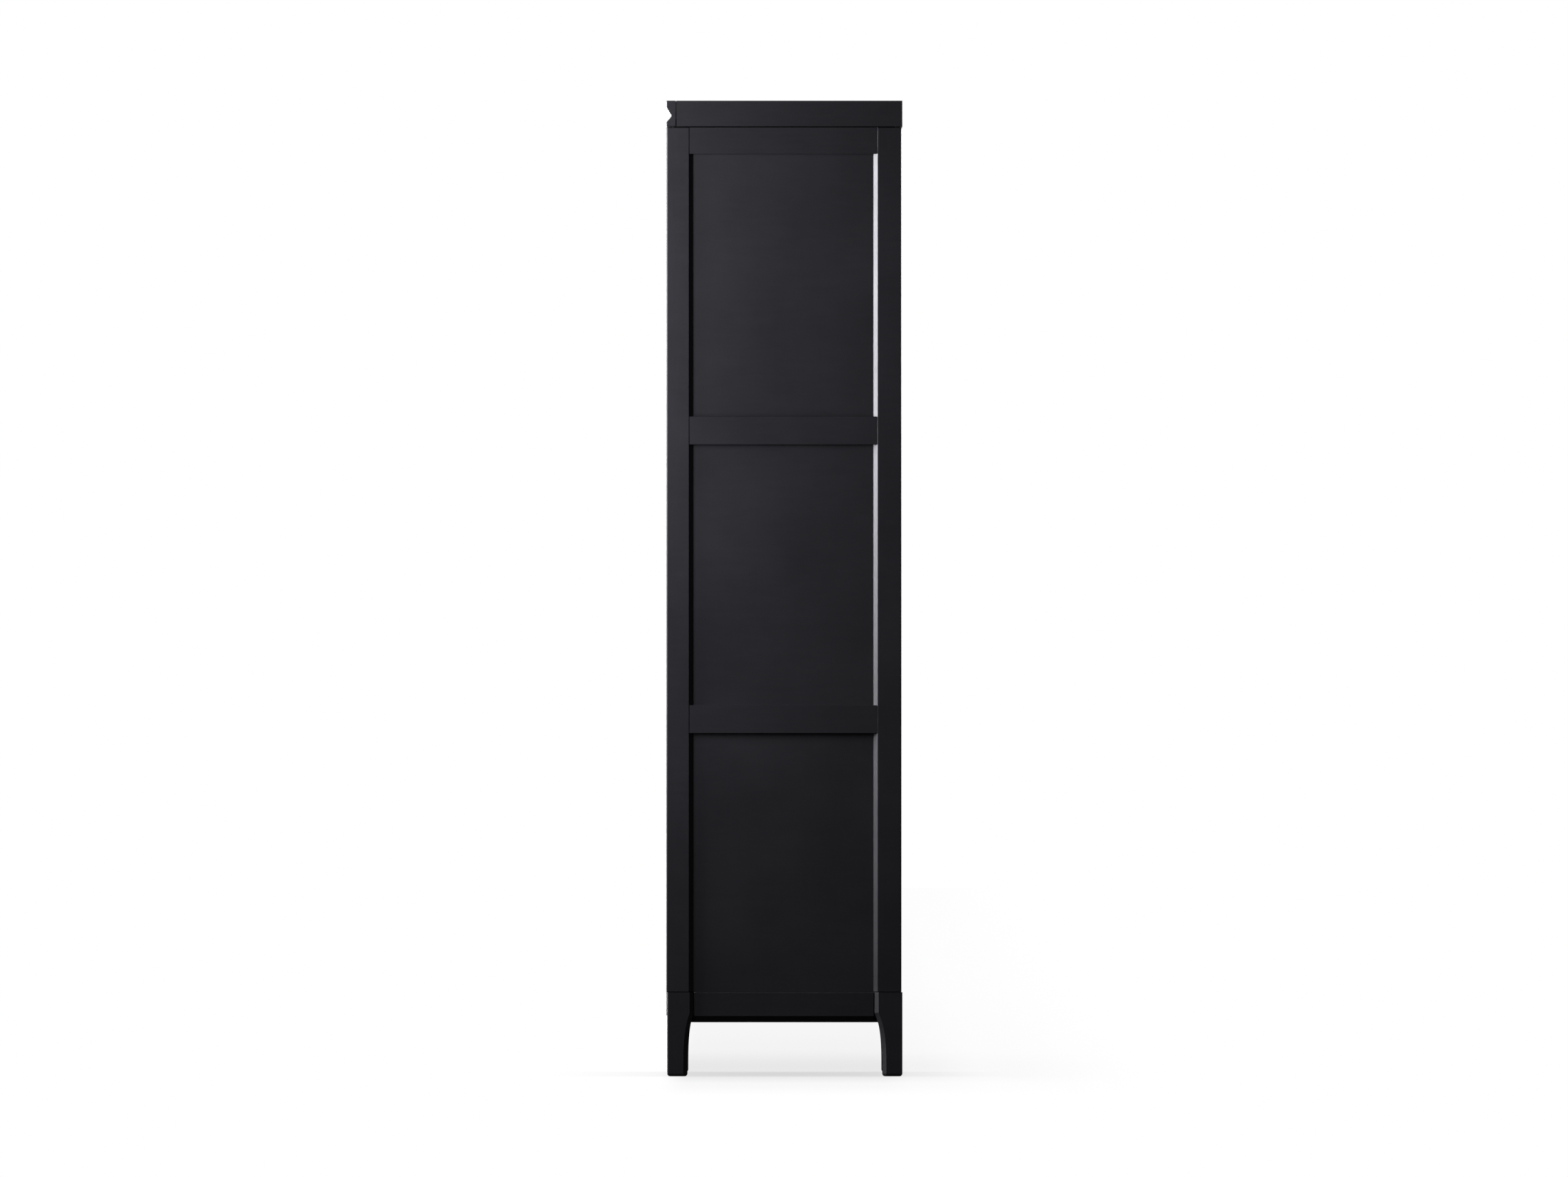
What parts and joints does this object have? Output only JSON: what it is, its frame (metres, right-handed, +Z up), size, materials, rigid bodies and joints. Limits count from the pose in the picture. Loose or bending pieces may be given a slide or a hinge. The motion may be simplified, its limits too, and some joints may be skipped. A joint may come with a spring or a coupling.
{
  "type": "wardrobe with doors",
  "caption": "Tall satin-black frame-and-panel wardrobe on tapered legs, with a grooved crown, hinged doors, a hat shelf and a hanging rod.",
  "frame": {"origin": "on the floor, under the middle of the whole object's box", "axes": "+Z up, front with the doors towards -Y, +X to the right seen from the front"},
  "size_m": [1.016, 0.506, 2.09],
  "materials": {
    "lacquer": "satin black lacquer over a fine-grained wood",
    "panel_lacquer": "satin black lacquer on smooth board",
    "inside_lacquer": "flatter black lacquer on the inside boards",
    "plated_steel": "satin nickel plate",
    "dark_steel": "black oxide steel",
    "catch_plastic": "moulded black plastic"
  },
  "bodies": {
    "case": {"post_front_left": "lacquer", "post_rear_left": "lacquer", "leg_front_left": "lacquer", "leg_rear_left": "lacquer", "side_panel_left": "panel_lacquer", "side_top_rail_left": "lacquer", "side_upper_rail_left": "lacquer", "side_lower_rail_left": "lacquer", "side_bottom_rail_left": "lacquer", "crown_side_left": "lacquer", "rod_socket_left": "plated_steel", "hinge_left_top_case_leaf": "dark_steel", "hinge_left_middle_case_leaf": "dark_steel", "hinge_left_bottom_case_leaf": "dark_steel", "post_front_right": "lacquer", "post_rear_right": "lacquer", "leg_front_right": "lacquer", "leg_rear_right": "lacquer", "side_panel_right": "panel_lacquer", "side_top_rail_right": "lacquer", "side_upper_rail_right": "lacquer", "side_lower_rail_right": "lacquer", "side_bottom_rail_right": "lacquer", "crown_side_right": "lacquer", "rod_socket_right": "plated_steel", "hinge_right_top_case_leaf": "dark_steel", "hinge_right_middle_case_leaf": "dark_steel", "hinge_right_bottom_case_leaf": "dark_steel", "crown_fascia": "lacquer", "crown_back": "lacquer", "back_top_rail": "lacquer", "back_bottom_rail": "lacquer", "top_board": "inside_lacquer", "floor_panel": "inside_lacquer", "back_panel": "inside_lacquer", "front_stretcher": "inside_lacquer", "hat_shelf": "inside_lacquer", "hanging_rod": "plated_steel", "magnet_catch": "catch_plastic"},
    "door_left": {"door_left_hinge_stile": "lacquer", "door_left_meeting_stile": "lacquer", "door_left_top_rail": "lacquer", "door_left_upper_rail": "lacquer", "door_left_lower_rail": "lacquer", "door_left_bottom_rail": "lacquer", "door_left_panel": "panel_lacquer", "hinge_left_top_door_leaf": "dark_steel", "hinge_left_middle_door_leaf": "dark_steel", "hinge_left_bottom_door_leaf": "dark_steel"},
    "door_right": {"door_right_hinge_stile": "lacquer", "door_right_meeting_stile": "lacquer", "door_right_top_rail": "lacquer", "door_right_upper_rail": "lacquer", "door_right_lower_rail": "lacquer", "door_right_bottom_rail": "lacquer", "door_right_panel": "panel_lacquer", "hinge_right_top_door_leaf": "dark_steel", "hinge_right_middle_door_leaf": "dark_steel", "hinge_right_bottom_door_leaf": "dark_steel"}
  },
  "joints": [
    {"name": "door_right_hinge", "type": "hinge", "parent": "case", "child": "door_right", "pos_m": [0.4665, -0.2495, 1.0805], "axis": [0, 0, 1], "range_deg": [0, 110]},
    {"name": "door_left_hinge", "type": "hinge", "parent": "case", "child": "door_left", "pos_m": [-0.4665, -0.2495, 1.0805], "axis": [0, 0, -1], "range_deg": [0, 110]}
  ]
}
